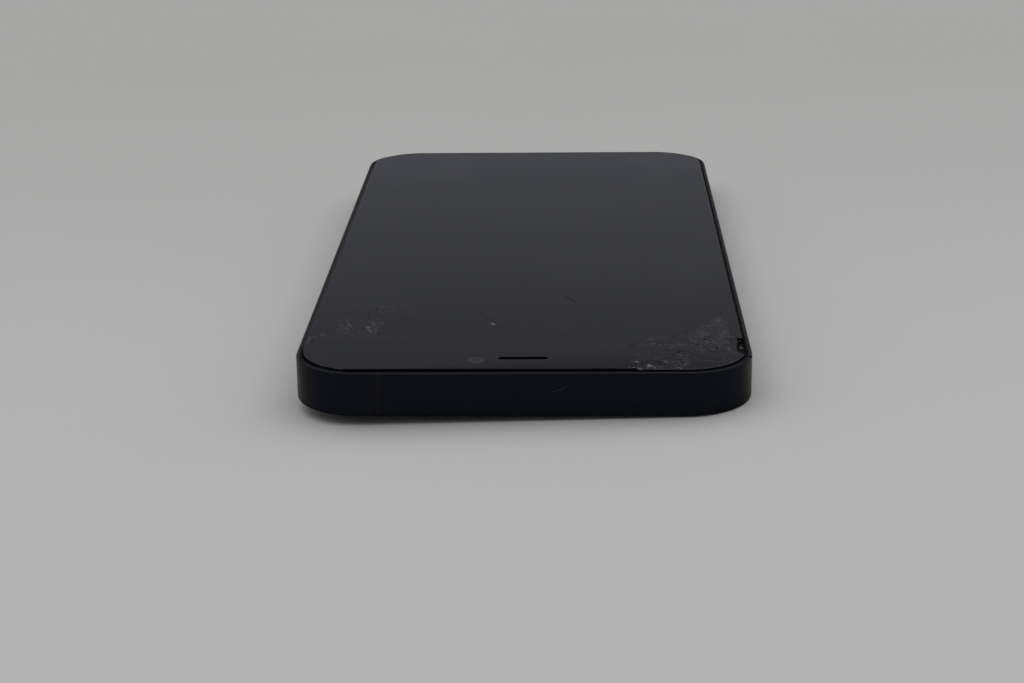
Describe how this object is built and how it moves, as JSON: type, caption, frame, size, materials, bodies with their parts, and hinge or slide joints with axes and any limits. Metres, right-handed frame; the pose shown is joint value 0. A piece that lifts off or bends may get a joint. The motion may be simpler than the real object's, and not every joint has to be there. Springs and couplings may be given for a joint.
{
  "type": "smartphone with shattered screen",
  "caption": "Flat-sided smartphone lying on its back, screen off, its cover glass cracked and shattered at the corners of the earpiece end, with working buttons, switch and card tray.",
  "frame": {"origin": "below the middle of the phone, level with the rear lens rings it rests on", "axes": "+Y along the phone from the earpiece end to the charge end, +Z out of the screen, -X the right-hand side seen from the screen with the earpiece up"},
  "size_m": [0.0722, 0.1466, 0.0089],
  "materials": {
    "anodised_frame": "dark blue anodised, fine blasted",
    "strip_plastic": "moulded, matt",
    "cover_glass": "polished, black behind, cracked and scuffed",
    "broken_glass": "crazed, frosted along its breaks",
    "rear_glass": "polished, dark blue behind",
    "bezel_plastic": "moulded, matt",
    "lens_glass": "polished, coated",
    "lens_ring_metal": "dark blue anodised, polished",
    "flash_plastic": "clear ribbed diffuser",
    "module_black": "matt",
    "mesh_metal": "woven, blackened",
    "steel": "stamped, plain",
    "board_laminate": "solder mask",
    "copper": "plain copper"
  },
  "bodies": {
    "housing": {"frame": "anodised_frame", "antenna_strip_1": "strip_plastic", "antenna_strip_2": "strip_plastic", "antenna_strip_3": "strip_plastic", "antenna_strip_4": "strip_plastic", "antenna_strip_5": "strip_plastic", "antenna_strip_6": "strip_plastic", "battery": "module_black", "board_shield_lower": "steel", "board_shield_upper": "steel", "bottom_screw_left": "steel", "bottom_screw_right": "steel", "camera_bracket": "steel", "charge_socket": "steel", "charging_coil": "copper", "cover_glass": "cover_glass", "display_flex": "copper", "display_panel": "module_black", "dock_flex": "copper", "earpiece_mesh": "mesh_metal", "earpiece_speaker": "module_black", "face_sensor": "module_black", "flash_lens": "flash_plastic", "front_camera": "module_black", "glass_shard_1": "broken_glass", "glass_shard_10": "broken_glass", "glass_shard_11": "broken_glass", "glass_shard_12": "broken_glass", "glass_shard_2": "broken_glass", "glass_shard_3": "broken_glass", "glass_shard_4": "broken_glass", "glass_shard_5": "broken_glass", "glass_shard_6": "broken_glass", "glass_shard_7": "broken_glass", "glass_shard_8": "broken_glass", "glass_shard_9": "broken_glass", "lens_cover_main": "lens_glass", "lens_cover_wide": "lens_glass", "lens_ring_main": "lens_ring_metal", "lens_ring_wide": "lens_ring_metal", "logic_board": "board_laminate", "loudspeaker": "module_black", "magnet_ring": "steel", "microphone_mesh": "mesh_metal", "power_key": "module_black", "rear_camera_main": "module_black", "rear_camera_wide": "module_black", "rear_glass": "rear_glass", "screen_bezel": "bezel_plastic", "sim_reader": "steel", "speaker_mesh": "mesh_metal", "vibration_motor": "steel", "volume_down_key": "module_black", "volume_up_key": "module_black"},
    "power_button": {"power_button": "anodised_frame"},
    "volume_up_button": {"volume_up_button": "anodised_frame"},
    "volume_down_button": {"volume_down_button": "anodised_frame"},
    "mute_switch": {"mute_switch": "anodised_frame"},
    "sim_tray": {"sim_tray": "anodised_frame"}
  },
  "joints": [
    {"name": "power_press", "type": "slide", "parent": "housing", "child": "power_button", "axis": [1, 0, 0], "range_m": [0, 0.0003], "stiffness_N_per_m": 1500},
    {"name": "volume_up_press", "type": "slide", "parent": "housing", "child": "volume_up_button", "axis": [-1, 0, 0], "range_m": [0, 0.0003], "stiffness_N_per_m": 1500},
    {"name": "volume_down_press", "type": "slide", "parent": "housing", "child": "volume_down_button", "axis": [-1, 0, 0], "range_m": [0, 0.0003], "stiffness_N_per_m": 1500},
    {"name": "mute_slide", "type": "slide", "parent": "housing", "child": "mute_switch", "axis": [0, 0, 1], "range_m": [0, 0.00124]},
    {"name": "tray_slide", "type": "slide", "parent": "housing", "child": "sim_tray", "axis": [1, 0, 0], "range_m": [0, 0.0196]}
  ]
}
